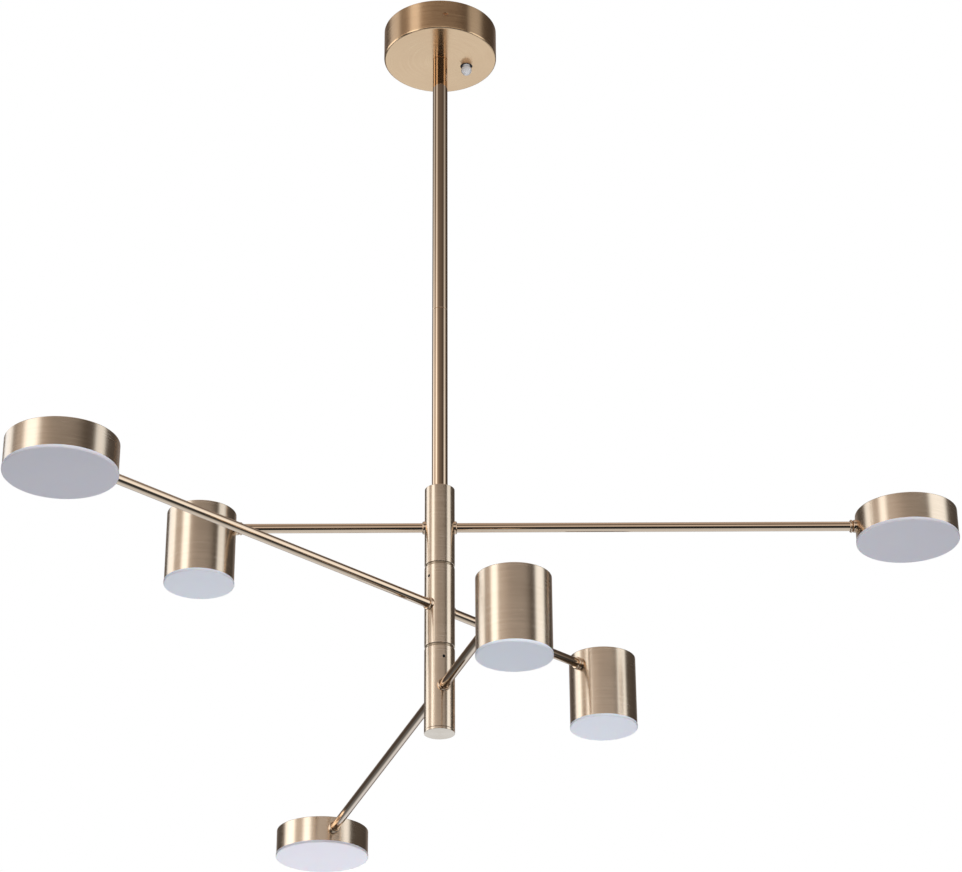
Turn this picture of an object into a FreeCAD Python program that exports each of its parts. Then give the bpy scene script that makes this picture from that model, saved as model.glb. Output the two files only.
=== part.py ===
import FreeCAD, Part
import math
import os
from collections import namedtuple

# Multi-arm ceiling chandelier, in millimetres, +Z up.
# The origin is the centre of the ceiling bracket's top face, which lies on the ceiling, and +Y runs
# along the bracket. A canopy hides the bracket and the driver. A two-piece stem hangs from the canopy
# and ends in a hollow spindle. Three tiers turn about the spindle. Each tier has a long arm with a disc
# light and, opposite it, a short arm with a can light, and each light rolls about its own arm.

Vector = FreeCAD.Vector
Light = namedtuple("Light", "name turn reach diameter shade_height axis_drop board_drop led_rings")

# Canopy and ceiling bracket
canopy_diameter = 122.0
canopy_height = 36.0
canopy_wall = 1.2
canopy_floor = 1.6
canopy_edge_radius = 2.0
canopy_inner_radius = 0.8
bracket_width = 20.0
bracket_thickness = 2.0
bracket_clearance = 0.6
tab_drop = 25.0
slot_spacing = 70.0
slot_width = 5.0
slot_length = 16.0
side_screw_diameter = 4.0
side_screw_length = 8.0
side_screw_drop = 18.0
side_screw_sink = 0.4
side_hole_clearance = 0.2
side_socket = 2.0

# Electrical pieces in the canopy
fitting_clearance = 1.5
driver_width = 56.0
driver_height = 22.0
driver_edge_radius = 2.0
block_length = 24.0
block_depth = 14.0
block_height = 15.0
block_poles = 3
block_azimuth = -45.0
terminal_bore = 3.4
lens_diameter = 11.5
lens_drop = 5.2
lens_neck_diameter = 8.0
lens_hole_diameter = 13.0
lens_flange_width = 1.1
lens_flange_thickness = 1.0
lens_offset = 30.5
lens_azimuth = 15.0
receiver_length = 22.0
receiver_width = 14.0
receiver_height = 7.0

# Stem
stem_diameter = 16.0
stem_bore = 12.5
upper_rod_length = 314.5
lower_rod_length = 207.5
rod_end_radius = 0.6
thread_diameter = 10.0
thread_depth = 14.0
nipple_bore = 7.0
nipple_engagement = 11.0
nipple_stand = 2.0
nut_width = 14.0
nut_thickness = 5.0

# Column of tiers
tier_diameter = 30.0
tier_wall = 1.5
tier_height = 84.5
tier_edge = 0.6
head_thickness = 18.0
arm_drop = 42.0
set_screw_drop = 12.0
set_screw_diameter = 3.0
set_screw_sink = 0.4
set_screw_socket = 1.5
set_screw_gap = 0.3
spindle_diameter = 12.0
spindle_bore = 8.0
running_clearance = 0.05
thrust_gap = 0.25
spacer_thickness = 2.0
spacer_recess = 0.8
cap_thickness = 2.25
cap_edge = 0.3
cap_plug_length = 10.0
hub_gap = 4.0
hub_floor = 12.0
peg_diameter = 2.0
peg_height = 2.8
groove_clearance = 0.45
groove_depth = 3.6
rib_width = 2.0

# Arms and their swivels
arm_diameter = 9.5
arm_wall = 1.0
ring_diameter = 13.0
collar_thickness = 2.2
bead_thickness = 3.0
bead_edge = 1.3
swivel_gap = 0.3
bead_web = 1.4
stud_bore = 3.0
flare_height = 0.35
flare_length = 0.8
flare_clearance = 0.15
stub_diameter = 6.0
stub_length = 5.5

# Lights
shade_wall = 1.5
shade_step = 0.7
shade_top = 1.5
shade_edge_radius = 0.8
boss_diameter = 12.0
boss_length = 4.5
board_thickness = 1.6
board_clearance = 0.2
led_size = 3.0
led_height = 0.7
diffuser_thickness = 3.0
diffuser_lip = 0.4
diffuser_edge = 1.2
spigot_height = 6.0
spigot_wall = 2.0
spigot_clearance = 0.05

# Wiring
cable_diameter = 4.0
cable_bend = 8.0
lead_diameter = 1.6
lead_bend = 4.0
lead_gap = 0.3
lead_overrun = 12.0
loop_clearance = 0.8
window_width = 4.0
window_height = 10.0

disc = Light(name="disc", turn=0.0, reach=466.0, diameter=101.5, shade_height=27.6, axis_drop=13.4,
             board_drop=4.0, led_rings=((16.0, 6), (36.0, 12)))
can = Light(name="can", turn=180.0, reach=237.5, diameter=69.0, shade_height=74.0, axis_drop=15.7,
            board_drop=40.0, led_rings=((20.0, 8),))
lights = (disc, can)
tiers = (("upper", -5.8), ("middle", -140.5), ("lower", 101.0))

# Places that several pieces share
canopy_bottom = -canopy_height
floor_top = canopy_bottom + canopy_floor
canopy_bore = canopy_diameter / 2 - canopy_wall
rod_joint = canopy_bottom - upper_rod_length
stem_end = rod_joint - lower_rod_length
column_top = stem_end - thrust_gap
tier_pitch = tier_height + spacer_thickness + 2 * thrust_gap
tier_tops = [column_top - tier_pitch * level for level in range(len(tiers))]
cap_top = tier_tops[-1] - tier_height - thrust_gap
hub_radius = tier_diameter / 2 - tier_wall
peg_radius = (spindle_diameter / 2 + hub_radius) / 2
loop_radius = spindle_diameter / 2 + loop_clearance + lead_diameter
cavity_radius = loop_radius + lead_diameter / 2 + loop_clearance
stud_radius = arm_diameter / 2 - arm_wall - flare_clearance - flare_height
nut_corner = nut_width / math.sqrt(3)
driver_face = nut_corner + 2 * fitting_clearance


def save(name, *solids):
    """Write one node: a single solid, or a group of separate ones."""
    shape = solids[0] if len(solids) == 1 else Part.makeCompound(list(solids))
    shape.exportStep("parts/" + name + ".step")


def turned(*corners):
    """Solid of revolution about Z. Each corner is (radius, height) or (radius, height, rounding)."""
    places = [Vector(corner[0], 0, corner[1]) for corner in corners]
    starts, ends, arcs = [], [], []
    for index, corner in enumerate(corners):
        here = places[index]
        rounding = corner[2] if len(corner) > 2 else 0
        if not rounding:
            starts.append(here)
            ends.append(here)
            arcs.append(None)
            continue
        back = (places[index - 1] - here).normalize()
        ahead = (places[(index + 1) % len(places)] - here).normalize()
        half = back.getAngle(ahead) / 2
        starts.append(here + back * (rounding / math.tan(half)))
        ends.append(here + ahead * (rounding / math.tan(half)))
        crown = here + (back + ahead).normalize() * (rounding / math.sin(half) - rounding)
        arcs.append(Part.Arc(starts[-1], crown, ends[-1]).toShape())
    edges = []
    for index, arc in enumerate(arcs):
        if arc:
            edges.append(arc)
        after = (index + 1) % len(arcs)
        if (starts[after] - ends[index]).Length > 1e-6:
            edges.append(Part.LineSegment(ends[index], starts[after]).toShape())
    section = Part.Face(Part.Wire(edges))
    return section.revolve(Vector(0, 0, 0), Vector(0, 0, 1), 360)


def rod(diameter, low, high):
    """Round bar on the Z axis."""
    return Part.makeCylinder(diameter / 2, high - low, Vector(0, 0, low))


def block(low, high):
    """Box between two corners."""
    size = [high[axis] - low[axis] for axis in range(3)]
    return Part.makeBox(size[0], size[1], size[2], Vector(*low))


def along_x(shape):
    """Lay a piece that was turned about Z down along +X."""
    laid = shape.copy()
    laid.rotate(Vector(0, 0, 0), Vector(0, 1, 0), 90)
    return laid


def aim(shape, azimuth, height=0.0):
    """Turn a piece about Z and lift it to its height."""
    aimed = shape.copy()
    aimed.rotate(Vector(0, 0, 0), Vector(0, 0, 1), azimuth)
    aimed.translate(Vector(0, 0, height))
    return aimed


def hexagon(width, low, high):
    """Six-sided bar on the Z axis, by its width across flats."""
    corner = width / math.sqrt(3)
    angles = [math.radians(60 * side) for side in range(7)]
    outline = Part.makePolygon([Vector(corner * math.cos(a), corner * math.sin(a), low) for a in angles])
    return Part.Face(outline).extrude(Vector(0, 0, high - low))


def grub_screw(diameter, length, socket):
    """Headless screw along +X, its socketed end at x = 0 and its tip at x = -length."""
    body = turned((0, -length), (diameter / 2, -length, diameter / 6), (diameter / 2, 0), (0, 0))
    return along_x(body.cut(hexagon(socket, -socket, 1.0)))


def run(points, bend, diameter):
    """Round wire through points in one plane, with an arc of the bend radius at each corner."""
    edges, last = [], points[0]
    for before, here, after in zip(points, points[1:], points[2:]):
        back = (before - here).normalize()
        ahead = (after - here).normalize()
        half = back.getAngle(ahead) / 2
        start = here + back * (bend / math.tan(half))
        end = here + ahead * (bend / math.tan(half))
        crown = here + (back + ahead).normalize() * (bend / math.sin(half) - bend)
        edges.append(Part.LineSegment(last, start).toShape())
        edges.append(Part.Arc(start, crown, end).toShape())
        last = end
    edges.append(Part.LineSegment(last, points[-1]).toShape())
    section = Part.Wire(Part.Circle(points[0], points[1] - points[0], diameter / 2).toShape())
    return Part.Wire(edges).makePipeShell([section], True, False)


def make_bracket():
    """Steel strap with two slots for the ceiling screws and a tab at each end for the canopy screws."""
    half_width = bracket_width / 2
    tab_face = math.sqrt(canopy_bore ** 2 - half_width ** 2) - bracket_clearance
    strap = block((-half_width, -tab_face, -bracket_thickness), (half_width, tab_face, 0))
    for side in (-1, 1):
        edges = sorted((side * tab_face, side * (tab_face - bracket_thickness)))
        strap = strap.fuse(block((-half_width, edges[0], -tab_drop), (half_width, edges[1], 0)))
    for side in (-1, 1):
        straight = (slot_length - slot_width) / 2
        middle = side * slot_spacing / 2
        for end in (-straight, straight):
            hole = rod(slot_width, -bracket_thickness - 1, 1)
            hole.translate(Vector(0, middle + end, 0))
            strap = strap.cut(hole)
        waist = block((-slot_width / 2, middle - straight, -bracket_thickness - 1),
                      (slot_width / 2, middle + straight, 1))
        strap = strap.cut(waist)
    hole = along_x(rod(side_screw_diameter, -canopy_diameter, canopy_diameter))
    return strap.cut(aim(hole, 90, -side_screw_drop)).removeSplitter()


def make_canopy():
    """Drawn cup that covers the bracket, with holes for the stem, the receiver lens and two screws."""
    outer = canopy_diameter / 2
    hole = thread_diameter / 2 + side_hole_clearance
    cup = turned((hole, canopy_bottom), (outer, canopy_bottom, canopy_edge_radius), (outer, 0),
                 (canopy_bore, 0), (canopy_bore, floor_top, canopy_inner_radius), (hole, floor_top))
    window = rod(lens_hole_diameter, canopy_bottom - 1, floor_top + 1)
    window.translate(Vector(lens_offset, 0, 0))
    cup = cup.cut(aim(window, lens_azimuth))
    side_hole = rod(side_screw_diameter + 2 * side_hole_clearance, -canopy_diameter, canopy_diameter)
    return cup.cut(aim(along_x(side_hole), 90, -side_screw_drop))


def make_canopy_electrics():
    """Driver, terminal block, receiver and its lens, all standing on the canopy's floor."""
    reach = canopy_bore - fitting_clearance
    far = math.sqrt(reach ** 2 - (driver_width / 2) ** 2)
    driver = block((-far, -driver_width / 2, floor_top),
                   (-driver_face, driver_width / 2, floor_top + driver_height))
    uprights = [edge for edge in driver.Edges if abs(edge.Vertexes[0].Z - edge.Vertexes[1].Z) > 1]
    save("led_driver", driver.makeFillet(driver_edge_radius, uprights))

    outer_face = math.sqrt(reach ** 2 - (block_length / 2) ** 2)
    housing = block((outer_face - block_depth, -block_length / 2, floor_top),
                    (outer_face, block_length / 2, floor_top + block_height))
    for pole in range(block_poles):
        middle = block_length * ((pole + 0.5) / block_poles - 0.5)
        bore = along_x(rod(terminal_bore, 0, canopy_diameter))
        bore.translate(Vector(0, middle, floor_top + block_height / 2))
        housing = housing.cut(bore)
    save("terminal_block", aim(housing, block_azimuth))

    neck = lens_neck_diameter / 2
    flange = lens_hole_diameter / 2 + lens_flange_width
    shelf = floor_top + lens_flange_thickness
    middle = canopy_bottom - lens_drop
    seat = turned((0, middle), (neck, middle), (neck, floor_top), (flange, floor_top), (flange, shelf), (0, shelf))
    lens = Part.makeSphere(lens_diameter / 2, Vector(0, 0, middle)).fuse(seat).removeSplitter()
    lens.translate(Vector(lens_offset, 0, 0))
    save("receiver_lens", aim(lens, lens_azimuth))
    module = block((lens_offset - receiver_length / 2, -receiver_width / 2, shelf),
                   (lens_offset + receiver_length / 2, receiver_width / 2, shelf + receiver_height))
    save("receiver_module", aim(module, lens_azimuth))


def make_rod(low, high):
    """Drawn tube with a thick threaded end at the top and at the bottom."""
    outer, bore, thread = stem_diameter / 2, stem_bore / 2, thread_diameter / 2
    return turned((thread, low), (outer, low, rod_end_radius), (outer, high, rod_end_radius), (thread, high),
                  (thread, high - thread_depth), (bore, high - thread_depth),
                  (bore, low + thread_depth), (thread, low + thread_depth))


def make_nipple(low):
    """Hollow threaded nipple that holds the stem to the canopy, or one rod to the next."""
    length = nipple_engagement + canopy_floor + nut_thickness + nipple_stand
    return rod(thread_diameter, low, low + length).cut(rod(nipple_bore, low - 1, low + length + 1))


def make_stem():
    """Rods, nipples and lock nut."""
    save("upper_rod", make_rod(rod_joint, canopy_bottom))
    save("lower_rod", make_rod(stem_end, rod_joint))
    save("rod_nipples", *[make_nipple(joint - nipple_engagement) for joint in (canopy_bottom, rod_joint)])
    nut = hexagon(nut_width, floor_top, floor_top + nut_thickness)
    save("stem_nut", nut.cut(rod(thread_diameter, floor_top - 1, 0)))


def make_peg(azimuth, low):
    """Stop peg that stands in a tier's stop groove."""
    peg = rod(peg_diameter, low, low + peg_height)
    peg.translate(Vector(peg_radius, 0, 0))
    return aim(peg, azimuth)


def make_spindle_parts():
    """Fixed axle of the column, the spacer rings between the tiers and the cap that closes it."""
    neck_top = stem_end + thread_depth - 1
    spindle = rod(spindle_diameter, cap_top, stem_end).fuse(rod(thread_diameter, stem_end - 1, neck_top))
    spindle = spindle.cut(rod(spindle_bore, cap_top - 1, stem_end - 2))
    spindle = spindle.cut(rod(nipple_bore, stem_end - 3, neck_top + 1))
    for top, (_, azimuth) in zip(tier_tops, tiers):
        window = block((0, -window_width / 2, -window_height / 2),
                       (spindle_diameter, window_width / 2, window_height / 2))
        spindle = spindle.cut(aim(window, azimuth + 90, top - arm_drop))
    save("spindle", spindle.removeSplitter())

    rings = []
    outer = tier_diameter / 2 - spacer_recess
    for top, (_, azimuth) in list(zip(tier_tops, tiers))[:-1]:
        high = top - tier_height - thrust_gap
        low = high - spacer_thickness
        ring = rod(2 * outer, low, high).cut(rod(spindle_diameter, low - 1, high + 1))
        rings.append(ring.fuse(make_peg(azimuth, high)))
    save("spacer_rings", *rings)

    low = cap_top - cap_thickness
    outer = tier_diameter / 2
    cap = turned((0, low), (outer, low, cap_edge), (outer, cap_top), (0, cap_top))
    cap = cap.fuse(rod(spindle_bore, cap_top - 1, cap_top + cap_plug_length))
    save("end_cap", cap.fuse(make_peg(tiers[-1][1], cap_top)).removeSplitter())


def make_stem_cable():
    """Cable from the driver down the stem, with a short branch through the spindle at each tier."""
    crown = floor_top + nut_thickness + nipple_stand + cable_bend + 1
    bottom = cap_top + cap_plug_length + 2
    route = [Vector(0, 0, bottom), Vector(0, 0, crown), Vector(-driver_face, 0, crown)]
    cable = run(route, cable_bend, cable_diameter)
    branch = along_x(rod(lead_diameter, 0, loop_radius - lead_diameter / 2 - lead_gap))
    for top, (_, azimuth) in zip(tier_tops, tiers):
        cable = cable.fuse(aim(branch, azimuth + 90, top - arm_drop))
    save("stem_cable", cable)


def make_housing():
    """Tier body turned from bar: a solid bearing head and a tube below it. Its top is at z = 0."""
    outer = tier_diameter / 2
    bearing = spindle_diameter / 2 + running_clearance
    body = turned((bearing, 0), (outer, 0, tier_edge), (outer, -tier_height, tier_edge),
                  (hub_radius, -tier_height), (hub_radius, -head_thickness), (bearing, -head_thickness))
    body = body.cut(aim(along_x(rod(arm_diameter, -tier_diameter, tier_diameter)), 0, -arm_drop))
    return body.cut(aim(along_x(rod(set_screw_diameter, -tier_diameter, tier_diameter)), 0, -set_screw_drop))


def make_hub():
    """Cup inside the housing that holds both arms, bears on the spindle and has the stop groove below."""
    low, high = -tier_height, -head_thickness - hub_gap
    bearing = spindle_diameter / 2 + running_clearance
    cup = turned((bearing, low), (hub_radius, low), (hub_radius, high), (cavity_radius, high),
                 (cavity_radius, low + hub_floor), (bearing, low + hub_floor))
    cup = cup.cut(aim(along_x(rod(arm_diameter, -tier_diameter, tier_diameter)), 0, -arm_drop))
    half_width = peg_diameter / 2 + groove_clearance
    groove = rod(2 * (peg_radius + half_width), low - 1, low + groove_depth)
    groove = groove.cut(rod(2 * (peg_radius - half_width), low - 1, low + groove_depth))
    rib = block((-tier_diameter, -rib_width / 2, low - 1), (0, rib_width / 2, low + groove_depth))
    return cup.cut(groove.cut(rib))


def make_set_screws():
    """One grub screw above each arm, backed off so that its tip clears the spindle."""
    face = tier_diameter / 2 - set_screw_sink
    length = face - spindle_diameter / 2 - set_screw_gap
    screw = grub_screw(set_screw_diameter, length, set_screw_socket)
    screw.translate(Vector(face, 0, -set_screw_drop))
    return [aim(screw, light.turn) for light in lights]


def wall_of(light):
    """Distance from the column's axis to the near wall of a light's shade."""
    return light.reach - light.diameter / 2


def arm_end_of(light):
    """Where the arm's tube stops, inside its end bead."""
    return wall_of(light) - bead_thickness - swivel_gap - bead_web


def make_arm(light):
    """Thin tube screwed into the hub. Its axis is +X."""
    low, high = cavity_radius + 0.2, arm_end_of(light)
    return along_x(rod(arm_diameter, low, high).cut(rod(arm_diameter - 2 * arm_wall, low - 1, high + 1)))


def make_arm_rings(light):
    """Collar at the column, saddled to its wall, and the bead at the arm's end, which the stud turns in."""
    outer, tube = ring_diameter / 2, arm_diameter / 2
    face = tier_diameter / 2 + collar_thickness
    collar = turned((tube, cavity_radius), (outer, cavity_radius), (outer, face, bead_edge), (tube, face))
    column = rod(tier_diameter, -tier_diameter, tier_diameter)
    high = wall_of(light) - bead_thickness - swivel_gap
    low = high - bead_thickness
    bearing = stud_radius + running_clearance
    bead = turned((tube, low), (outer, low, bead_edge), (outer, high, bead_edge), (bearing, high),
                  (bearing, high - bead_web), (tube, high - bead_web))
    return [along_x(collar).cut(column), along_x(bead)]


def make_harness():
    """Lead that loops round the spindle in the hub's hollow and runs out through both arms."""
    loop = Part.makeTorus(loop_radius, lead_diameter / 2)
    for light in lights:
        start = loop_radius + lead_diameter / 4
        lead = along_x(rod(lead_diameter, start, wall_of(light) - lead_overrun - lead_gap))
        loop = loop.fuse(aim(lead, light.turn))
    return loop


def make_tier(name, azimuth, top):
    """One tier, without its lights."""
    axis = top - arm_drop
    save(name + "_housing", aim(make_housing(), azimuth, top))
    save(name + "_hub", aim(make_hub(), azimuth, top))
    save(name + "_set_screws", *[aim(screw, azimuth, top) for screw in make_set_screws()])
    save(name + "_harness", aim(make_harness(), azimuth, axis))
    rings = []
    for light in lights:
        side = azimuth + light.turn
        save(name + "_" + light.name + "_arm", aim(make_arm(light), side, axis))
        rings += [aim(ring, side, axis) for ring in make_arm_rings(light)]
    save(name + "_arm_rings", *rings)


def make_shade(light):
    """Turned metal cup, open below, with a boss inside for the stud. The arm's axis is z = 0."""
    outer = light.diameter / 2
    top = light.axis_drop
    low = top - light.shade_height
    step = top - light.board_drop
    lower_bore = outer - shade_wall
    upper_bore = lower_bore - shade_step
    cup = turned((0, top), (outer, top, shade_edge_radius), (outer, low), (lower_bore, low),
                 (lower_bore, step), (upper_bore, step), (upper_bore, top - shade_top), (0, top - shade_top))
    cup.translate(Vector(light.reach, 0, 0))
    wall = wall_of(light)
    boss = along_x(rod(boss_diameter, wall + shade_wall / 2, wall + shade_wall + shade_step + boss_length))
    cup = cup.fuse(boss)
    return cup.cut(along_x(rod(stub_diameter, wall - 1, light.reach))).removeSplitter()


def make_stud(light):
    """Hollow swivel stud: a bead against the shade, a thread into it and a flared neck in the arm's bead."""
    wall = wall_of(light)
    outer, neck, bore = ring_diameter / 2, stud_radius, stud_bore / 2
    bead_face = wall - bead_thickness
    bead = along_x(turned((neck, bead_face), (outer, bead_face, bead_edge), (outer, wall + bead_thickness),
                          (neck, wall + bead_thickness)))
    shade = rod(light.diameter, -light.diameter, light.diameter)
    shade.translate(Vector(light.reach, 0, 0))
    flare_face = arm_end_of(light) - flare_clearance
    flare = neck + flare_height
    stub = stub_diameter / 2
    stem = turned((bore, flare_face - flare_length), (flare, flare_face - flare_length), (flare, flare_face),
                  (neck, flare_face), (neck, bead_face + 1), (stub, bead_face + 1),
                  (stub, wall + stub_length), (bore, wall + stub_length))
    return bead.cut(shade).fuse(along_x(stem)).removeSplitter()


def make_led_board(light):
    """Round board against the shade's step, its emitters facing down, with its own lead from the arm."""
    top = light.axis_drop - light.board_drop
    low = top - board_thickness
    board = rod(light.diameter - 2 * (shade_wall + board_clearance), low, top)
    for ring_radius, count in light.led_rings:
        for index in range(count):
            chip = block((ring_radius - led_size / 2, -led_size / 2, low - led_height),
                         (ring_radius + led_size / 2, led_size / 2, low))
            board = board.fuse(aim(chip, 360.0 * index / count))
    board.translate(Vector(light.reach, 0, 0))
    wall = wall_of(light)
    corner = wall + shade_wall + shade_step + boss_length + lead_bend
    target = low if low > 0 else top
    points = [Vector(wall - lead_overrun, 0, 0), Vector(corner, 0, 0), Vector(corner, 0, target)]
    return board.fuse(run(points, lead_bend, lead_diameter))


def make_diffuser(light):
    """Frosted cover: a thick plate that stands just proud of the shade, and a ring that plugs into it."""
    high = light.axis_drop - light.shade_height
    low = high - diffuser_thickness
    outer = light.diameter / 2 + diffuser_lip
    ring = light.diameter / 2 - shade_wall - spigot_clearance
    plate = turned((0, low), (outer, low, diffuser_edge), (outer, high), (ring, high),
                   (ring, high + spigot_height), (ring - spigot_wall, high + spigot_height),
                   (ring - spigot_wall, high), (0, high))
    plate.translate(Vector(light.reach, 0, 0))
    return plate


def make_light(tier_name, light, azimuth, axis):
    """One light head: shade, stud, board and diffuser."""
    name = tier_name + "_" + light.name
    save(name + "_shade", aim(make_shade(light), azimuth, axis))
    save(name + "_stud", aim(make_stud(light), azimuth, axis))
    save(name + "_led_board", aim(make_led_board(light), azimuth, axis))
    save(name + "_diffuser", aim(make_diffuser(light), azimuth, axis))


os.makedirs("parts", exist_ok=True)
save("ceiling_bracket", make_bracket())
save("canopy", make_canopy())
side_screw = grub_screw(side_screw_diameter, side_screw_length, side_socket)
side_screw.translate(Vector(canopy_diameter / 2 - side_screw_sink, 0, -side_screw_drop))
save("canopy_screws", aim(side_screw, 90), aim(side_screw, -90))
make_canopy_electrics()
make_stem()
make_spindle_parts()
make_stem_cable()
for tier_top, (tier_name, tier_azimuth) in zip(tier_tops, tiers):
    make_tier(tier_name, tier_azimuth, tier_top)
    for light in lights:
        make_light(tier_name, light, tier_azimuth + light.turn, tier_top - arm_drop)
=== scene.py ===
import math
import bmesh
import bpy
from mathutils import Matrix, Vector


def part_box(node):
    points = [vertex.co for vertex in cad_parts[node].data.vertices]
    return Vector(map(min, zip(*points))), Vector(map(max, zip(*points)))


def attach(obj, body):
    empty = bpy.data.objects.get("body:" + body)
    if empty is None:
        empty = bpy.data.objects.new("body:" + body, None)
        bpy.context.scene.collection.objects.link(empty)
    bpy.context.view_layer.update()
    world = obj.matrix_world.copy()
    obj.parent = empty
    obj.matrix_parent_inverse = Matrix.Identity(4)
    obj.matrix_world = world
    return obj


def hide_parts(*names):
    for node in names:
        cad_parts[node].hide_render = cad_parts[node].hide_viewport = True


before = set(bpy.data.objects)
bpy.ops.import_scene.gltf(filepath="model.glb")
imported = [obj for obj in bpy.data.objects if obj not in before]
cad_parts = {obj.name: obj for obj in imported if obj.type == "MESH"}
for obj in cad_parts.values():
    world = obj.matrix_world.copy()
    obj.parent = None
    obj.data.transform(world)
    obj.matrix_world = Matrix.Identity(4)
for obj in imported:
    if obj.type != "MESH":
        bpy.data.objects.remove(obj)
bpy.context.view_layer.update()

# Canopy: a drawn cup of brass-plated steel that covers the ceiling bracket. Its wall and floor are brushed
# while it spins, so the scratches run round it, and a nipple and nut hold it to the top of the stem.
MM = 0.001
ARC_STEPS = 5
CREASE = math.radians(34)
canopy_low, canopy_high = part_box("canopy")
canopy_radius = canopy_high.x / MM
canopy_bottom = canopy_low.z / MM
canopy_wall = 1.2
canopy_floor = canopy_bottom + 1.6
drawn_edge = 2.0
trimmed_edge = 0.35
nipple_hole = 5.2
screw_height = canopy_low.z / 2
lens_spot = (sum(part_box("receiver_lens"), Vector()) / 2).xy


class Signal:
    """A shader socket. Arithmetic on it adds Math nodes, and node() adds any other node to its tree."""

    def __init__(self, tree, socket=None):
        self.tree = tree
        self.socket = socket

    def node(self, kind, settings=(), sockets=(), output=0):
        """Add a node: its settings first, then the values or links of its sockets."""
        made = self.tree.nodes.new("ShaderNode" + kind)
        for name, value in dict(settings).items():
            if name == "stops":
                ramp = made.color_ramp
                ramp.elements.remove(ramp.elements[1])
                ramp.elements[0].position, ramp.elements[0].color = value[0]
                for position, colour in value[1:]:
                    ramp.elements.new(position).color = colour
            else:
                setattr(made, name, value)
        for name, value in dict(sockets).items():
            if isinstance(value, Signal):
                self.tree.links.new(value.socket, made.inputs[name])
            else:
                made.inputs[name].default_value = value
        return Signal(self.tree, made.outputs[output] if made.outputs else None)

    def maths(self, operation, *values):
        return self.node("Math", {"operation": operation}, enumerate(values))

    def __add__(self, other):
        return self.maths("ADD", self, other)

    def __radd__(self, other):
        return self.maths("ADD", other, self)

    def __sub__(self, other):
        return self.maths("SUBTRACT", self, other)

    def __rsub__(self, other):
        return self.maths("SUBTRACT", other, self)

    def __mul__(self, other):
        return self.maths("MULTIPLY", self, other)

    def __rmul__(self, other):
        return self.maths("MULTIPLY", other, self)

    def __pow__(self, other):
        return self.maths("POWER", self, other)

    def parts(self):
        """The three parts of a vector."""
        split = self.node("SeparateXYZ", (), {0: self})
        return [Signal(self.tree, socket) for socket in split.socket.node.outputs]

    def between(self, first, last):
        """Two colours mixed by this signal."""
        return self.node("Mix", {"data_type": "RGBA"}, {0: self, 6: first, 7: last}, 2)


def new_finish(name):
    """An empty material, and the signal that its nodes grow from."""
    material = bpy.data.materials.new(name)
    material.use_nodes = True
    material.node_tree.nodes.clear()
    return material, Signal(material.node_tree)


def close_finish(tree, **sockets):
    """End a material in a Principled shader with these sockets."""
    named = {key.replace("_", " "): value for key, value in sockets.items()}
    shader = tree.node("BsdfPrincipled", (), named)
    tree.node("OutputMaterial", (), {"Surface": shader})


def spun_brass(name, pale, deep, roughness, streak, lathe_marks, anisotropy, relief):
    """Brass plate finished on a lathe: fine scratches round local Z, and slow patches in the lacquer."""
    material, tree = new_finish(name)
    x, y, z = tree.node("TexCoord", output="Object").parts()
    radius = (x * x + y * y) ** 0.5
    round_it = 22.0
    along = tree.node("CombineXYZ", (), {0: x * round_it, 1: y * round_it, 2: (z + radius) * streak})
    scratch = tree.node("TexNoise", (), {"Vector": along, "Scale": 1.0, "Detail": 3.0, "Roughness": 0.62})
    place = tree.node("CombineXYZ", (), {0: x, 1: y, 2: z})
    patch = tree.node("TexNoise", (), {"Vector": place, "Scale": 34.0, "Detail": 2.0})
    mask = scratch * 0.7 + patch * 0.3
    colour = tree.node("MapRange", (), {0: mask, 1: 0.3, 2: 0.7}).between(deep, pale)
    close_finish(
        tree,
        Base_Color=colour,
        Metallic=1.0,
        Roughness=roughness + (scratch - 0.5) * lathe_marks + (patch - 0.5) * 0.05,
        Anisotropic=anisotropy,
        Anisotropic_Rotation=0.25,
        Normal=tree.node("Bump", (), {"Strength": relief, "Distance": 0.00004, "Height": scratch}),
    )
    return material


satin_brass = spun_brass(
    "satin_brass", (0.87, 0.67, 0.47, 1), (0.75, 0.56, 0.38, 1),
    roughness=0.24, streak=1500, lathe_marks=0.16, anisotropy=0.6, relief=0.14)
canopy_brass = spun_brass(
    "canopy_brass", (0.88, 0.56, 0.30, 1), (0.76, 0.46, 0.24, 1),
    roughness=0.24, streak=1500, lathe_marks=0.16, anisotropy=0.8, relief=0.12)


def rounded(corners):
    """Closed outline through (radius, height) corners. A third number rounds that corner."""
    outline = []
    for index, corner in enumerate(corners):
        here = Vector((corner[0], corner[1], 0))
        if len(corner) < 3:
            outline.append(here)
            continue
        before, after = corners[index - 1], corners[(index + 1) % len(corners)]
        back = (Vector((before[0], before[1], 0)) - here).normalized()
        ahead = (Vector((after[0], after[1], 0)) - here).normalized()
        half = back.angle(ahead) / 2
        centre = here + (back + ahead).normalized() * (corner[2] / math.sin(half))
        first = here + back * (corner[2] / math.tan(half)) - centre
        last = here + ahead * (corner[2] / math.tan(half)) - centre
        arc = [first.lerp(last, step / ARC_STEPS).normalized() for step in range(ARC_STEPS + 1)]
        outline += [centre + direction * corner[2] for direction in arc]
    return outline


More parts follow.
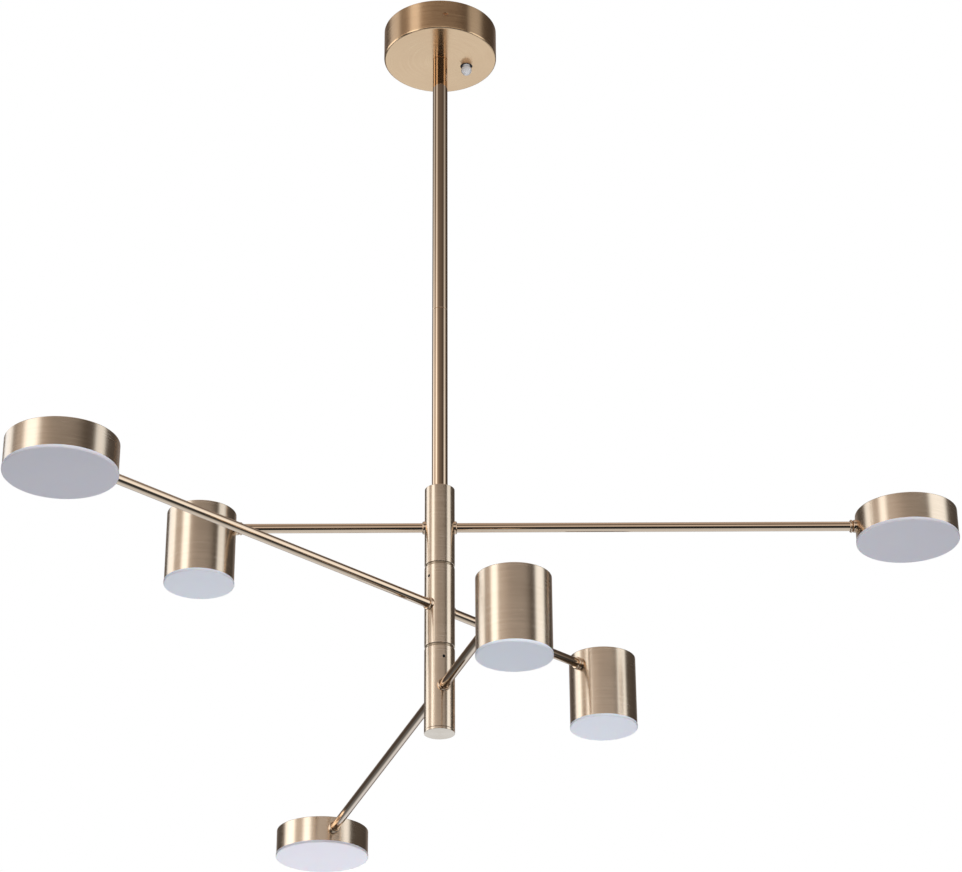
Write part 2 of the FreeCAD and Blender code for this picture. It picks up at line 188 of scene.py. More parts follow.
def spin(*outlines, segments=128):
    """Mesh spun about Z from closed outlines of (radius, height, rounding) corners in millimetres."""
    mesh = bmesh.new()
    turns = [2 * math.pi * side / segments for side in range(segments)]
    for corners in outlines:
        rings = []
        for point in rounded(corners):
            r, h = point.x * MM, point.y * MM
            if r < 1e-7:
                rings.append([mesh.verts.new((0, 0, h))] * segments)
            else:
                rings.append([mesh.verts.new((r * math.cos(a), r * math.sin(a), h)) for a in turns])
        for lower, upper in zip(rings, rings[1:] + rings[:1]):
            for side in range(segments):
                after = (side + 1) % segments
                face = dict.fromkeys((lower[side], lower[after], upper[after], upper[side]))
                if len(face) > 2:
                    mesh.faces.new(list(face))
    bmesh.ops.recalc_face_normals(mesh, faces=mesh.faces)
    return mesh


def upright(x=0.0, y=0.0, z=0.0, turn=0.0):
    """Where a piece with an upright axis stands, in metres."""
    return Matrix.Translation((x, y, z)) @ Matrix.Rotation(turn, 4, "Z")


def outward(azimuth, height):
    """Lays a piece's Z axis level and pointing away from the column."""
    return upright(z=height, turn=azimuth) @ Matrix.Rotation(math.pi / 2, 4, "Y")


def piece(name, mesh, finish, place=Matrix()):
    """Object made from a mesh, smooth between its creases."""
    data = bpy.data.meshes.new(name)
    mesh.to_mesh(data)
    mesh.free()
    data.materials.append(finish)
    made = bpy.data.objects.new(name, data)
    bpy.context.scene.collection.objects.link(made)
    made.matrix_world = place
    crease(made)
    return made


def crease(made):
    """Smooth shading with sharp edges, and normals that follow the larger faces."""
    made.data.polygons.foreach_set("use_smooth", [True] * len(made.data.polygons))
    made.data.set_sharp_from_angle(angle=CREASE)
    if not made.modifiers:
        flat = made.modifiers.new("even_faces", "WEIGHTED_NORMAL")
        flat.keep_sharp = True
        flat.weight = 100


def drill(made, *tools):
    """Cut the tools' shapes out of a piece, then throw the tools away."""
    made.modifiers.clear()
    for tool in tools:
        step = made.modifiers.new("cut", "BOOLEAN")
        step.operation = "DIFFERENCE"
        step.solver = "EXACT"
        step.object = tool
    bpy.context.view_layer.update()
    done = made.evaluated_get(bpy.context.evaluated_depsgraph_get())
    data = bpy.data.meshes.new_from_object(done)
    made.modifiers.clear()
    made.data = data
    for tool in tools:
        bpy.data.objects.remove(tool)
    crease(made)
    return made


def settle(made, body, slot, *nodes):
    """Let a finished piece ride its body and stand for its CAD nodes. The slot is not used."""
    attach(made, body)
    if nodes:
        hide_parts(*nodes)
    return made


canopy_inside = canopy_radius - canopy_wall
canopy_shell = piece("canopy_shell", spin([
    (nipple_hole, canopy_bottom, 0.3), (canopy_radius, canopy_bottom, drawn_edge),
    (canopy_radius, 0, trimmed_edge), (canopy_inside, 0, trimmed_edge),
    (canopy_inside, canopy_floor, 0.8), (nipple_hole, canopy_floor, 0.3)], segments=256), canopy_brass)
lens_hole = spin([(0, -5), (6.7, -5), (6.7, 0.25), (6.5, 0.45), (6.5, 5), (0, 5)], segments=64)
side_hole = [(0, 50), (2.2, 50), (2.2, 59.75), (2.6, 60.15), (2.6, 65), (0, 65)]
drill(
    canopy_shell,
    piece("lens_hole", lens_hole, satin_brass, upright(lens_spot.x, lens_spot.y, canopy_low.z)),
    piece("hole_a", spin(side_hole, segments=48), satin_brass, outward(math.pi / 2, screw_height)),
    piece("hole_b", spin(side_hole, segments=48), satin_brass, outward(-math.pi / 2, screw_height)),
)
settle(canopy_shell, "stem", "satin_brass", "canopy")


# Canopy screws: two M4 headless screws, brass plated, that pinch the canopy against the bracket's tabs.
# Each is cut from wire, thread rolled, faced with a small chamfer and broached for a 2 mm key.
def socket_screw(name, radius, length, key, finish, place):
    """Headless screw with its socketed face at z = 0 and its cone point at z = -length."""
    chamfer = radius * 0.14
    made = piece(name, spin([
        (0, -length), (radius * 0.45, -length), (radius, -length + radius * 0.55),
        (radius, -chamfer), (radius - chamfer, 0), (0, 0)], segments=48), finish, place)
    corner = key / math.sqrt(3)
    tool = spin([(0, -key * 0.62), (corner, -key * 0.5), (corner, 1), (0, 1)], segments=6)
    return drill(made, piece("key", tool, finish, place))


screw_sink = 0.4
for side, azimuth in (("a", math.pi / 2), ("b", -math.pi / 2)):
    seat = outward(azimuth, screw_height) @ Matrix.Translation((0, 0, (canopy_radius - screw_sink) * MM))
    screw = socket_screw("canopy_screw_" + side, 2.0, 8.0, 2.0, canopy_brass, seat)
    settle(screw, "stem", "satin_brass", "canopy_screws")

# Receiver lens: a small milk-white polycarbonate ball on a neck, moulded with a flange that sits on the
# canopy's floor. It passes the remote control's signal to the module above it. A black ring fills the hole
# round its neck
# under the flange: painted shade, standing for the dark gap seen above the ball.
receiver_white, tree = new_finish("receiver_white")
spot = tree.node("TexCoord", output="Object")
bloom = tree.node("TexNoise", (), {"Vector": spot, "Scale": 420.0, "Detail": 3.0})
close_finish(
    tree,
    Base_Color=bloom.between((0.80, 0.79, 0.80, 1), (0.88, 0.88, 0.90, 1)),
    Roughness=0.22 + bloom * 0.12,
    Coat_Weight=0.4,
    Normal=tree.node("Bump", (), {"Strength": 0.08, "Distance": 0.00005, "Height": bloom}),
)
lens_low, lens_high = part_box("receiver_lens")
ball = 5.75
neck = 4.0
flange = (lens_high.x - lens_low.x) / 2 / MM
hang = (canopy_low.z - lens_low.z) / MM - ball
shelf = (lens_high.z - canopy_low.z) / MM
rim = shelf - 1.0
meeting = math.pi - math.asin(neck / ball)
turns = [meeting * step / 28 for step in range(29)]
bulb = [(ball * math.sin(turn), -hang - ball * math.cos(turn)) for turn in turns]
lens = piece("receiver_ball", spin(
    bulb + [(neck, rim), (flange, rim, 0.2), (flange, shelf, 0.2), (0, shelf)], segments=64),
    receiver_white, upright(lens_spot.x, lens_spot.y, canopy_low.z))
settle(lens, "stem", "receiver_lens", "receiver_lens")
# Painted shade: a near-black ring in the lens hole that darkens the gap round the ball's neck.
gap_shade_black, tree = new_finish("gap_shade_black")
spot = tree.node("TexCoord", output="Object")
skin = tree.node("TexNoise", (), {"Vector": spot, "Scale": 1400.0, "Detail": 3.0})
close_finish(
    tree,
    Base_Color=skin.between((0.020, 0.018, 0.017, 1), (0.045, 0.040, 0.036, 1)),
    Roughness=0.55 + skin * 0.2,
    Normal=tree.node("Bump", (), {"Strength": 0.2, "Distance": 0.00005, "Height": skin}),
)
gap_shade_radius = 6.4
gap_shade_low = 0.7
gap_shade_ring = piece("receiver_gap_shade", spin([
    (neck, gap_shade_low, 0.2), (gap_shade_radius, gap_shade_low, 0.2), (gap_shade_radius, rim), (neck, rim)], segments=64),
    gap_shade_black, upright(lens_spot.x, lens_spot.y, canopy_low.z))
settle(gap_shade_ring, "stem", "receiver_lens", "receiver_lens")

# Stem: two polished brass-plated tubes that screw together on a hollow nipple. Their ends are turned
# square with a small round, so that the joint shows as one fine line.
polished_brass = spun_brass(
    "polished_brass", (0.76, 0.54, 0.35, 1), (0.71, 0.49, 0.31, 1),
    roughness=0.055, streak=1100, lathe_marks=0.03, anisotropy=0.0, relief=0.03)
rod_radius = 8.0
rod_bore = 6.25
thread_bore = 5.0
thread_depth = 14.0
for name in ("upper_rod", "lower_rod"):
    low, high = [corner.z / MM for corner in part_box(name)]
    tube = piece(name + "_tube", spin([
        (thread_bore, low), (rod_radius, low, 0.6), (rod_radius, high, 0.6), (thread_bore, high),
        (thread_bore, high - thread_depth), (rod_bore, high - thread_depth),
        (rod_bore, low + thread_depth), (thread_bore, low + thread_depth)], segments=96), polished_brass)
    settle(tube, "stem", "polished_brass", name)

# Column housings: brass tube of 30 mm with a solid bearing head, turned and brushed. Each has a hole on two
# sides for its arms, a tapped hole above each for a blackened set screw, and a recessed ring below it.
tiers = ("upper", "middle", "lower")
column_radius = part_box("end_cap")[1].x / MM
arm_low, arm_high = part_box("upper_disc_arm")
arm_radius = (arm_high.z - arm_low.z) / 2 / MM
black_steel, tree = new_finish("black_steel")
spot = tree.node("TexCoord", output="Object")
stain = tree.node("TexNoise", (), {"Vector": spot, "Scale": 900.0, "Detail": 4.0})
close_finish(
    tree,
    Base_Color=stain.between((0.022, 0.021, 0.020, 1), (0.060, 0.055, 0.050, 1)),
    Metallic=0.85,
    Roughness=0.30 + stain * 0.25,
    Normal=tree.node("Bump", (), {"Strength": 0.15, "Distance": 0.00005, "Height": stain}),
)
bearing_bore = 6.05
housing_bore = 13.5
head_depth = 18.0
screw_drop = 12.0
screw_face = 14.6
azimuths = {}
axis_heights = {}
for tier in tiers:
    shade_low, shade_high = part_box(tier + "_disc_shade")
    centre = (shade_low + shade_high) / 2
    azimuths[tier] = math.atan2(centre.y, centre.x)
    arm_low, arm_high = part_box(tier + "_disc_arm")
    axis_heights[tier] = (arm_low.z + arm_high.z) / 2
    low, high = [corner.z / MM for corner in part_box(tier + "_housing")]
    housing = piece(tier + "_housing_tube", spin([
        (bearing_bore, high - head_depth), (housing_bore, high - head_depth), (housing_bore, low, 0.3),
        (column_radius, low, 0.6), (column_radius, high, 0.6), (bearing_bore, high, 0.3)], segments=192),
        satin_brass)
    tools = []
    for turn in (0, math.pi):
        bore = spin([(0, 12), (arm_radius, 12), (arm_radius, 16), (0, 16)], segments=48)
        tap = spin([(0, 5), (1.5, 5), (1.5, 14.8), (1.85, 15.15), (1.85, 17), (0, 17)], segments=48)
        bore_place = outward(azimuths[tier] + turn, axis_heights[tier])
        tap_place = outward(azimuths[tier] + turn, (high - screw_drop) * MM)
        tools.append(piece("bore", bore, satin_brass, bore_place))
        tools.append(piece("tap", tap, satin_brass, tap_place))
    drill(housing, *tools)
    settle(housing, tier + "_tier", "satin_brass", tier + "_housing")
    for side, turn in (("disc", 0), ("can", math.pi)):
        seat = outward(azimuths[tier] + turn, (high - screw_drop) * MM)
        seat = seat @ Matrix.Translation((0, 0, screw_face * MM))
        screw = socket_screw(tier + "_set_screw_" + side, 1.5, 8.3, 1.5, black_steel, seat)
        settle(screw, tier + "_tier", "black_screw", tier + "_set_screws")

shadow_brass = spun_brass(
    "shadow_brass", (0.50, 0.37, 0.24, 1), (0.42, 0.30, 0.19, 1),
    roughness=0.30, streak=1500, lathe_marks=0.10, anisotropy=0.5, relief=0.1)
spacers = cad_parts["spacer_rings"]
spacers.data.materials.clear()
spacers.data.materials.append(shadow_brass)

# End cap: a turned brass disc that closes the column from below. Its plug presses into the spindle and
# its face is brushed in circles.
low, high = [corner.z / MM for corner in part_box("end_cap")]
shoulder = low + 2.25
plug_radius = 4.0
cap = piece("end_cap_disc", spin([
    (0, low), (column_radius, low, 0.3), (column_radius, shoulder), (plug_radius, shoulder),
    (plug_radius, high), (0, high)], segments=128), satin_brass)
settle(cap, "stem", "satin_brass", "end_cap")

# Arms: polished brass tube of 9.5 mm, cut to two lengths. The inner ends screw into the hub and the outer
# ends carry the lights.
arm_bore = arm_radius - 1.0
arm_start = 10.2
arm_stop = 4.7
reaches = {}
for tier in tiers:
    for light in ("disc", "can"):
        low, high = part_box(f"{tier}_{light}_shade")
        centre = (low + high) / 2
        radius = (high.x - low.x) / 2 / MM
        reach = math.hypot(centre.x, centre.y) / MM
        reaches[tier, light] = (reach, radius, low.z / MM, high.z / MM)
        azimuth = azimuths[tier] + (math.pi if light == "can" else 0)
        end = reach - radius - arm_stop
        arm = piece(f"{tier}_{light}_arm_tube", spin([
            (arm_bore, arm_start), (arm_radius, arm_start), (arm_radius, end), (arm_bore, end)], segments=64),
            polished_brass, outward(azimuth, axis_heights[tier]))
        settle(arm, tier + "_tier", "polished_brass", f"{tier}_{light}_arm")

# Arm rings: turned brass beads. A collar covers the arm's hole in the column and is saddled to its wall,
# and a bead closes the arm's outer end and carries the light's swivel stud.
def seat_on_wall(mesh, height, wall):
    """Move the ring of points at a height along Z on to a curved wall, given by its height at each y."""
    for point in mesh.verts:
        if abs(point.co.z / MM - height) < 1e-4:
            point.co.z = wall(point.co.y / MM) * MM
    return mesh


bead_radius = 6.5
bead_round = 1.3
bead_length = 3.0
bead_gap = 0.3
stud_hole = 3.3
collar_face = 17.2
for tier in tiers:
    outlines = []
    for light, sign in (("disc", 1), ("can", -1)):
        reach, radius = reaches[tier, light][:2]
        face = (reach - radius - bead_length - bead_gap) * sign
        back = face - bead_length * sign
        seat = face - 1.4 * sign
        outlines.append([
            (arm_radius, column_radius * sign), (bead_radius, column_radius * sign),
            (bead_radius, collar_face * sign, bead_round), (arm_radius, collar_face * sign)])
        outlines.append([
            (arm_radius, back), (bead_radius, back, bead_round), (bead_radius, face, bead_round),
            (stud_hole, face), (stud_hole, seat), (arm_radius, seat)])
    rings = spin(*outlines, segments=96)
    seat_on_wall(rings, column_radius, lambda y: math.sqrt(column_radius ** 2 - y ** 2))
    seat_on_wall(rings, -column_radius, lambda y: -math.sqrt(column_radius ** 2 - y ** 2))
    rings = piece(tier + "_turned_rings", rings, polished_brass, outward(azimuths[tier], axis_heights[tier]))
    settle(rings, tier + "_tier", "polished_brass", tier + "_arm_rings")

# Lights: a drawn brass shade, brushed round, with a thick frosted acrylic cover plugged into its mouth
# and a turned swivel stud in its side. The stud turns in the arm's bead, held by friction.
def opal(name, pale, deep):
    """Frosted opal acrylic: a fine blasted face over milky, slightly cloudy plastic."""
    material, tree = new_finish(name)
    spot = tree.node("TexCoord", output="Object")
    frost = tree.node("TexNoise", (), {"Vector": spot, "Scale": 1600.0, "Detail": 3.0})
    cloud = tree.node("TexNoise", (), {"Vector": spot, "Scale": 26.0, "Detail": 2.0})
    close_finish(
        tree,
        Base_Color=(frost * 0.4 + cloud * 0.6).between(deep, pale),
        Roughness=0.34 + frost * 0.16,
        IOR=1.49,
        Subsurface_Weight=0.15,
        Subsurface_Scale=0.004,
        Normal=tree.node("Bump", (), {"Strength": 0.1, "Distance": 0.00003, "Height": frost}),
    )
    return material


# The disc covers take a greyer copy of the same acrylic: painted shade, for the darker look they have with
# the board close behind.
cover_finishes = {
    "disc": opal("disc_acrylic_painted_shade", (0.80, 0.78, 0.84, 1), (0.75, 0.73, 0.79, 1)),
    "can": opal("can_acrylic", (0.88, 0.90, 0.98, 1), (0.84, 0.86, 0.94, 1)),
}
board_drop = {"disc": 4.0, "can": 40.0}
shade_wall = 1.5
board_ledge = 2.2
cover_depth = 3.0
cover_proud = 0.4
plug_slack = 0.05
plug_depth = 6.0
plug_wall = 2.0
lead_bore = 1.5
for tier in tiers:
    for light in ("disc", "can"):
        reach, radius, low, high = reaches[tier, light]
        azimuth = azimuths[tier] + (math.pi if light == "can" else 0)
        axis = axis_heights[tier] / MM
        spot = upright(reach * MM * math.cos(azimuth), reach * MM * math.sin(azimuth), axis_heights[tier])
        low -= axis
        high -= axis
        step = high - board_drop[light]
        mouth = radius - shade_wall
        ledge = radius - board_ledge
        ceiling = high - shade_wall
        shade = piece(f"{tier}_{light}_shade_cup", spin([
            (0, high), (radius, high, 0.8), (radius, low, 0.25), (mouth, low, 0.2), (mouth, step),
            (ledge, step), (ledge, ceiling, 0.4), (0, ceiling)], segments=192), satin_brass, spot)
        settle(shade, f"{tier}_{light}_light", "satin_brass", f"{tier}_{light}_shade")
        face = low - cover_depth
        edge = radius + cover_proud
        plug = mouth - plug_slack
        cover = piece(f"{tier}_{light}_cover", spin([
            (0, face), (edge, face, 1.2), (edge, low, 0.2), (plug, low), (plug, low + plug_depth),
            (plug - plug_wall, low + plug_depth), (plug - plug_wall, low), (0, low)], segments=160),
            cover_finishes[light], spot)
        settle(cover, f"{tier}_{light}_light", "frosted_acrylic", f"{tier}_{light}_diffuser")
        wall = reach - radius
        tail = wall - 5.65
        groove = wall - 4.85
        bead = wall - bead_length
        tip = wall + 5.5
        stud = spin([
            (lead_bore, tail), (3.6, tail), (3.6, groove), (3.25, groove), (3.25, bead),
            (bead_radius, bead, bead_round), (bead_radius, wall), (3.0, wall), (3.0, tip),
            (lead_bore, tip)], segments=96)
        seat_on_wall(stud, wall, lambda y: reach - math.sqrt(radius ** 2 - y ** 2))
        place = outward(azimuth, axis_heights[tier])
        stud = piece(f"{tier}_{light}_swivel_stud", stud, polished_brass, place)
        settle(stud, f"{tier}_{light}_light", "polished_brass", f"{tier}_{light}_stud")

# Electrical fittings: a driver in a moulded case with a lid, and a nylon terminal block of three poles
# with brass screws, both standing on the canopy's floor. They show from above, where the ceiling would be.
def moulded(width, depth, corner, levels):
    """Upright block with rounded corners, skinned through (inset, height) levels in millimetres."""
    mesh = bmesh.new()
    rings = []
    for inset, height in levels:
        ring = []
        for quarter in range(4):
            for step in range(ARC_STEPS + 1):
                angle = math.pi / 2 * (quarter + step / ARC_STEPS)
                right = 1 if quarter in (0, 3) else -1
                back = 1 if quarter in (0, 1) else -1
                x = (width / 2 - corner) * right + (corner - inset) * math.cos(angle)
                y = (depth / 2 - corner) * back + (corner - inset) * math.sin(angle)
                ring.append(mesh.verts.new((x * MM, y * MM, height * MM)))
        rings.append(ring)
    for lower, upper in zip(rings, rings[1:]):
        for side in range(len(lower)):
            after = (side + 1) % len(lower)
            mesh.faces.new((lower[side], lower[after], upper[after], upper[side]))
    mesh.faces.new(rings[0])
    mesh.faces.new(rings[-1])
    bmesh.ops.recalc_face_normals(mesh, faces=mesh.faces)
    return mesh


def moulded_plastic(name, pale, deep, roughness, scale, relief):
    """Moulded plastic with a fine eroded texture."""
    material, tree = new_finish(name)
    spot = tree.node("TexCoord", output="Object")
    grain = tree.node("TexNoise", (), {"Vector": spot, "Scale": scale, "Detail": 3.0})
    cloud = tree.node("TexNoise", (), {"Vector": spot, "Scale": 45.0, "Detail": 2.0})
    close_finish(
        tree,
        Base_Color=(grain * 0.5 + cloud * 0.5).between(deep, pale),
        Roughness=roughness + grain * 0.15,
        Normal=tree.node("Bump", (), {"Strength": relief, "Distance": 0.0001, "Height": grain}),
    )
    return material


driver_white = moulded_plastic(
    "driver_white", (0.86, 0.86, 0.84, 1), (0.78, 0.78, 0.76, 1), roughness=0.42, scale=1300.0, relief=0.35)
low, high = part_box("led_driver")
size = (high - low) / MM
case = piece("driver_case", moulded(size.x, size.y, 2.0, [
    (0.4, 0), (0, 0.4), (0, 15.6), (0.5, 15.8), (0.5, 16.4), (0, 16.6), (0, size.z - 0.5), (0.5, size.z)]),
    driver_white, upright((low.x + high.x) / 2, (low.y + high.y) / 2, low.z))
settle(case, "stem", "driver_case", "led_driver")

nylon = moulded_plastic(
    "terminal_nylon", (0.88, 0.87, 0.80, 1), (0.80, 0.79, 0.72, 1), roughness=0.36, scale=700.0, relief=0.2)
low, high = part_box("terminal_block")
middle = (low + high) / 2
facing = math.atan2(middle.y, middle.x)
pole_pitch = 8.0 * MM
wells = {"a": -3.4 * MM, "b": 3.4 * MM}
for pole in (-1, 0, 1):
    stand = upright(middle.x, middle.y, low.z, facing) @ Matrix.Translation((0, pole * pole_pitch, 0))
    body = piece(f"terminal_pole_{pole + 2}", moulded(14.0, 8.0, 1.2, [
        (0.2, 0), (0, 0.2), (0, 9.0), (0.9, 9.8), (0.9, 14.7), (1.15, 15.0)]), nylon, stand)
    tools = []
    for x in wells.values():
        well = spin([(0, 10.5), (2.2, 10.5), (2.2, 20), (0, 20)], segments=48)
        tools.append(piece("well", well, nylon, stand @ Matrix.Translation((x, 0, 0))))
    entry = stand @ Matrix.Translation((0, 0, 5.0 * MM)) @ Matrix.Rotation(math.pi / 2, 4, "Y")
    tools.append(piece("entry", spin([(0, -9), (1.7, -9), (1.7, 9), (0, 9)], segments=48), nylon, entry))
    drill(body, *tools)
    settle(body, "stem", "terminal_nylon", "terminal_block")
    for side, x in wells.items():
        seat = stand @ Matrix.Translation((x, 0, 0))
        screw = piece(f"terminal_screw_{pole + 2}{side}", spin([
            (0, 7.0), (1.5, 7.0), (1.5, 10.5), (2.0, 10.5), (2.0, 12.2, 0.3), (0, 12.2)], segments=48),
            satin_brass, seat)
        slot = moulded(5.0, 0.6, 0.1, [(0, 11.5), (0, 13.0)])
        turned = Matrix.Rotation(0.5 + pole * 0.8 + x * 400, 4, "Z")
        drill(screw, piece("slot", slot, satin_brass, seat @ turned))
        settle(screw, "stem", "satin_brass", "terminal_block")

# Inner fittings: a ceiling bracket, nipples and spindle of zinc-plated steel, turned aluminium hubs, sheathed
# wiring and the light-emitting boards. Most are shut inside the canopy, the column and the shades.
def plain_metal(name, pale, deep, roughness, scale, stretch):
    """Bare or plated metal with a spangle that is stretched along the rolling direction."""
    material, tree = new_finish(name)
    x, y, z = tree.node("TexCoord", output="Object").parts()
    spot = tree.node("CombineXYZ", (), {0: x * stretch, 1: y, 2: z})
    grain = tree.node("TexNoise", (), {"Vector": spot, "Scale": scale, "Detail": 4.0})
    close_finish(
        tree,
        Base_Color=grain.between(deep, pale),
        Metallic=1.0,
        Roughness=roughness + grain * 0.2,
        Normal=tree.node("Bump", (), {"Strength": 0.1, "Distance": 0.0001, "Height": grain}),
    )
    return material


zinc = plain_metal(
    "zinc_plate", (0.66, 0.67, 0.67, 1), (0.48, 0.49, 0.50, 1), roughness=0.28, scale=240.0, stretch=6.0)
aluminium = plain_metal(
    "turned_aluminium", (0.80, 0.80, 0.81, 1), (0.66, 0.66, 0.67, 1),
    roughness=0.26, scale=900.0, stretch=1.0)
sheath = moulded_plastic(
    "cable_sheath", (0.84, 0.84, 0.82, 1), (0.76, 0.76, 0.74, 1), roughness=0.48, scale=500.0, relief=0.2)
board = moulded_plastic(
    "circuit_board", (0.90, 0.90, 0.86, 1), (0.80, 0.80, 0.72, 1), roughness=0.34, scale=260.0, relief=0.15)
inner = {"ceiling_bracket": zinc, "stem_nut": zinc, "rod_nipples": zinc, "spindle": zinc}
inner["stem_cable"] = sheath
inner["receiver_module"] = driver_white
for tier in tiers:
    inner[tier + "_hub"] = aluminium
    inner[tier + "_harness"] = sheath
    for light in ("disc", "can"):
        inner[f"{tier}_{light}_led_board"] = board
for name, finish in inner.items():
    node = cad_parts[name]
    node.data.materials.clear()
    node.data.materials.append(finish)

# Floor and studio: a plain pale floor one storey below the ceiling, in a plain white room that the metal
# shows as soft grey bands. Three tall soft boxes also show in the metal, two small ones light the white
# covers, and a broad light from the ceiling keeps the floor pale.
floor_depth = 2.4
floor_reach = 9.0
floor_mesh = bmesh.new()
bmesh.ops.create_grid(floor_mesh, x_segments=1, y_segments=1, size=floor_reach)
floor_paint, tree = new_finish("floor_paint")
spot = tree.node("TexCoord", output="Object")
speck = tree.node("TexNoise", (), {"Vector": spot, "Scale": 7.0, "Detail": 5.0})
close_finish(tree, Base_Color=speck.between((0.80, 0.80, 0.80, 1), (0.84, 0.84, 0.84, 1)), Roughness=0.7)
floor = piece("floor", floor_mesh, floor_paint, upright(z=-floor_depth))
floor.visible_glossy = False
floor.visible_diffuse = False

room = bpy.data.worlds.new("studio")
room.use_nodes = True
room.node_tree.nodes.clear()
bpy.context.scene.world = room
tree = Signal(room.node_tree)
toward_camera = math.radians(95.2)
x, y, z = tree.node("TexCoord", output="Generated").parts()
front = x * math.cos(toward_camera) - y * math.sin(toward_camera)
side = x * math.sin(toward_camera) + y * math.cos(toward_camera)
turn = tree.maths("ARCTAN2", side, front) * (0.5 / math.pi) + 0.5
STRENGTH = 2.0


def lamp(level):
    """Colour of the studio at a brightness: dim parts are a little warm, and the bright ones cool."""
    cool = min(max((level - 0.4) / 0.9, 0.0), 1.0)
    tint = (1.08 - 0.23 * cool, 1.0, 0.98 + 0.24 * cool)
    return tuple(part * level / STRENGTH for part in tint) + (1.0,)


def bounce(level):
    """Colour of the light that comes back from the floor."""
    return (0.83 * level / STRENGTH, level / STRENGTH, 1.25 * level / STRENGTH, 1.0)


def bands(turn, span, levels, colour=lamp):
    """Brightness by angle, in degrees, as a ramp over a whole span that starts at minus half of it."""
    stops = [(angle / span + 0.5, colour(level)) for angle, level in levels]
    return tree.node("ValToRGB", {"stops": stops}, {0: turn})


def fade(tree, value, start, end):
    """A smooth step from 0 to 1 as a value goes from start to end."""
    return tree.node("MapRange", {"interpolation_type": "SMOOTHSTEP"}, {0: value, 1: start, 2: end})


def height(degrees):
    """The Z of a direction at an angle above the horizon."""
    return math.sin(math.radians(degrees))


eye_level = bands(turn, 360, [
    (-180, 0.30), (-160, 0.25), (-145, 0.08), (-126, 0.08), (-112, 0.15), (-98, 0.30), (-88, 0.62),
    (-74, 0.62), (-62, 0.6), (-38, 0.6), (-28, 0.46), (-14, 0.27), (0, 0.19), (20, 0.15), (36, 0.10),
    (46, 0.08), (110, 0.08), (142, 0.06), (160, 0.25)])
high_up = bands(turn, 360, [
    (-180, 0.30), (-160, 0.25), (-145, 0.08), (-110, 0.08), (-92, 0.10), (-75, 0.18), (-62, 0.25),
    (-40, 0.25), (-30, 0.18), (-12, 0.15), (6, 0.15), (30, 0.13), (50, 0.09), (142, 0.06), (160, 0.25)])
low_round = bands(turn, 360, [
    (-180, 1.0), (-170, 0.98), (-162, 0.6), (-152, 0.22), (-140, 0.16), (-120, 0.1), (-50, 0.05),
    (-12, 0.03), (40, 0.04), (98, 0.06), (110, 0.2), (121, 0.6), (140, 0.75), (165, 0.95)], bounce)
walls = fade(tree, z, height(26), height(34)).between(eye_level, high_up)
below_strip = 1 - fade(tree, z, height(18), height(22))
strip = fade(tree, front, 0.55, 0.85) * below_strip
walls = strip.between(walls, lamp(0.8))
below = fade(tree, z, height(-67), height(-61)).between(bounce(0.85), low_round)
room_light = fade(tree, z, height(-16), height(-3)).between(below, walls)
room_light = fade(tree, z, height(48), height(62)).between(room_light, lamp(0.55))
seen = tree.node("LightPath", output="Is Camera Ray")
glow = tree.node("Background", (), {"Color": room_light, "Strength": STRENGTH})
plain = tree.node("Background", (), {"Color": (1, 1, 1, 1), "Strength": 1.0})
soft = tree.node("Background", (), {"Color": (0.98, 0.985, 1.0, 1), "Strength": 0.25})
scattered = tree.node("LightPath", output="Is Diffuse Ray")
glow = tree.node("MixShader", (), {0: scattered, 1: glow, 2: soft})
tree.node("OutputWorld", (), {"Surface": tree.node("MixShader", (), {0: seen, 1: glow, 2: plain})})


def soft_box(name, place, towards, size, power):
    """A lamp that lights the plain white parts and leaves no image of itself in the metal."""
    data = bpy.data.lights.new(name, "AREA")
    data.shape = "DISK"
    data.size = size
    data.energy = power
    made = bpy.data.objects.new(name, data)
    bpy.context.scene.collection.objects.link(made)
    made.location = place
    made.rotation_euler = (Vector(towards) - Vector(place)).to_track_quat("-Z", "Y").to_euler()
    made.visible_glossy = False
    made.visible_camera = False


PANEL_HEIGHT = 3.6
PANEL_FOOT = -2.0


def panel(name, azimuth, distance, width, edge, levels):
    """A tall soft box that shows in the metal, dimmer towards its sides and by height."""
    data = bpy.data.lights.new(name, "AREA")
    data.shape = "RECTANGLE"
    data.size = width
    data.size_y = PANEL_HEIGHT
    data.energy = 4.0 * data.size * data.size_y
    made = bpy.data.objects.new(name, data)
    bpy.context.scene.collection.objects.link(made)
    spin_to = math.radians(azimuth)
    ahead = Vector((math.cos(toward_camera), -math.sin(toward_camera), 0))
    aside = Vector((math.sin(toward_camera), math.cos(toward_camera), 0))
    outwards = ahead * math.cos(spin_to) + aside * math.sin(spin_to)
    across = Vector((-outwards.y, outwards.x, 0))
    made.location = outwards * distance + Vector((0, 0, PANEL_FOOT + PANEL_HEIGHT / 2))
    made.rotation_euler = (-outwards).to_track_quat("-Z", "Y").to_euler()
    made.visible_camera = False
    made.visible_diffuse = False
    data.use_nodes = True
    data.node_tree.nodes.clear()
    tree = Signal(data.node_tree)
    x, y, z = tree.node("NewGeometry", output="Position").parts()
    along = x * across.x + y * across.y
    sides = fade(tree, along, -width / 2, edge - width / 2) * fade(tree, along, width / 2, width / 2 - edge)
    stops = []
    for place, level in levels:
        grey = level / STRENGTH
        stops.append(((place - PANEL_FOOT) / PANEL_HEIGHT, (grey, grey, grey, 1.0)))
    level = tree.node("ValToRGB", {"stops": stops}, {0: (z - PANEL_FOOT) * (1 / PANEL_HEIGHT)})
    lit = tree.node("Emission", (), {"Color": (0.86, 1.0, 1.2, 1), "Strength": level * sides * STRENGTH})
    tree.node("OutputLight", (), {"Surface": lit})


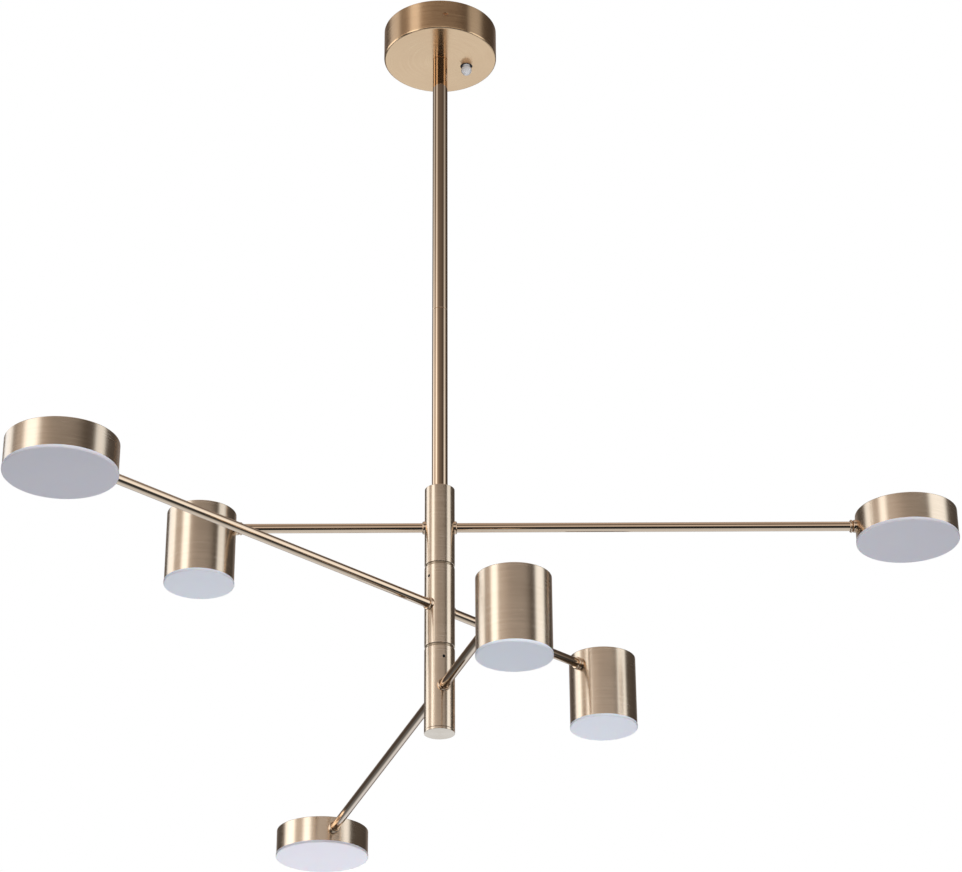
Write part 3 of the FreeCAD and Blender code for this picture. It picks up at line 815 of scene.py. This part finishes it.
panel("left_back_panel", azimuth=-105, distance=1.4, width=1.0, edge=0.22, levels=[
    (-1.5, 0.0), (-1.2, 1.2), (-0.9, 1.5), (-0.6, 1.15), (-0.3, 1.0), (0.1, 1.0), (0.3, 0.92), (0.5, 0.76),
    (0.6, 0.66), (0.85, 0.5), (1.2, 0.3), (1.6, 0.2)])
panel("left_front_panel", azimuth=-52, distance=1.4, width=0.78, edge=0.24, levels=[
    (-1.5, 0.0), (-1.2, 1.2), (-0.9, 1.5), (-0.6, 1.15), (-0.3, 0.96), (0.1, 0.92), (0.3, 0.88), (0.5, 0.72),
    (0.6, 0.62), (0.85, 0.5), (1.2, 0.3), (1.6, 0.2)])
panel("right_panel", azimuth=74, distance=1.3, width=0.98, edge=0.24, levels=[
    (-1.25, 0.0), (-1.0, 0.9), (-0.7, 1.15), (-0.3, 1.05), (0.1, 0.84), (0.3, 0.68), (0.5, 0.52), (0.6, 0.44),
    (0.85, 0.28), (1.2, 0.2), (1.6, 0.1)])
soft_box("low_box", (-0.05, 0.75, -1.75), towards=(-0.05, 0.35, -0.8), size=0.9, power=9.0)
soft_box("front_box", (0.3, -2.6, -0.9), towards=(0, 0, -0.7), size=1.2, power=33.0)

ceiling_glow = bpy.data.lights.new("ceiling_light", "SUN")
ceiling_glow.energy = 3.2
ceiling_glow.angle = math.radians(60)
ceiling_light = bpy.data.objects.new("ceiling_light", ceiling_glow)
bpy.context.scene.collection.objects.link(ceiling_light)
ceiling_light.visible_glossy = False

# Camera: a long lens below the lights, about two and a half metres in front of the column. It looks up
# past them to the ceiling, turned a little to the right.
camera_place = (-0.2256, -2.4791, -1.7874)
heading = math.radians(6.161)
pitch = math.radians(27.398)
roll = math.radians(-0.384)
camera_data = bpy.data.cameras.new("camera")
camera = bpy.data.objects.new("camera", camera_data)
bpy.context.scene.collection.objects.link(camera)
bpy.context.scene.camera = camera
camera_data.sensor_width = 36.0
camera_data.lens = 103.46
camera_data.clip_end = 50.0
ahead = Vector((math.sin(heading), math.cos(heading), 0))
forward = ahead * math.cos(pitch) + Vector((0, 0, math.sin(pitch)))
right = forward.cross(Vector((0, 0, 1))).normalized()
upward = right.cross(forward)
tilted = right * math.cos(roll) + upward * math.sin(roll)
crown = upward * math.cos(roll) - right * math.sin(roll)
facing = Matrix((tilted, crown, -forward)).transposed().to_4x4()
camera.matrix_world = Matrix.Translation(camera_place) @ facing
bpy.context.scene.view_settings.view_transform = "Standard"

bpy.context.view_layer.update()
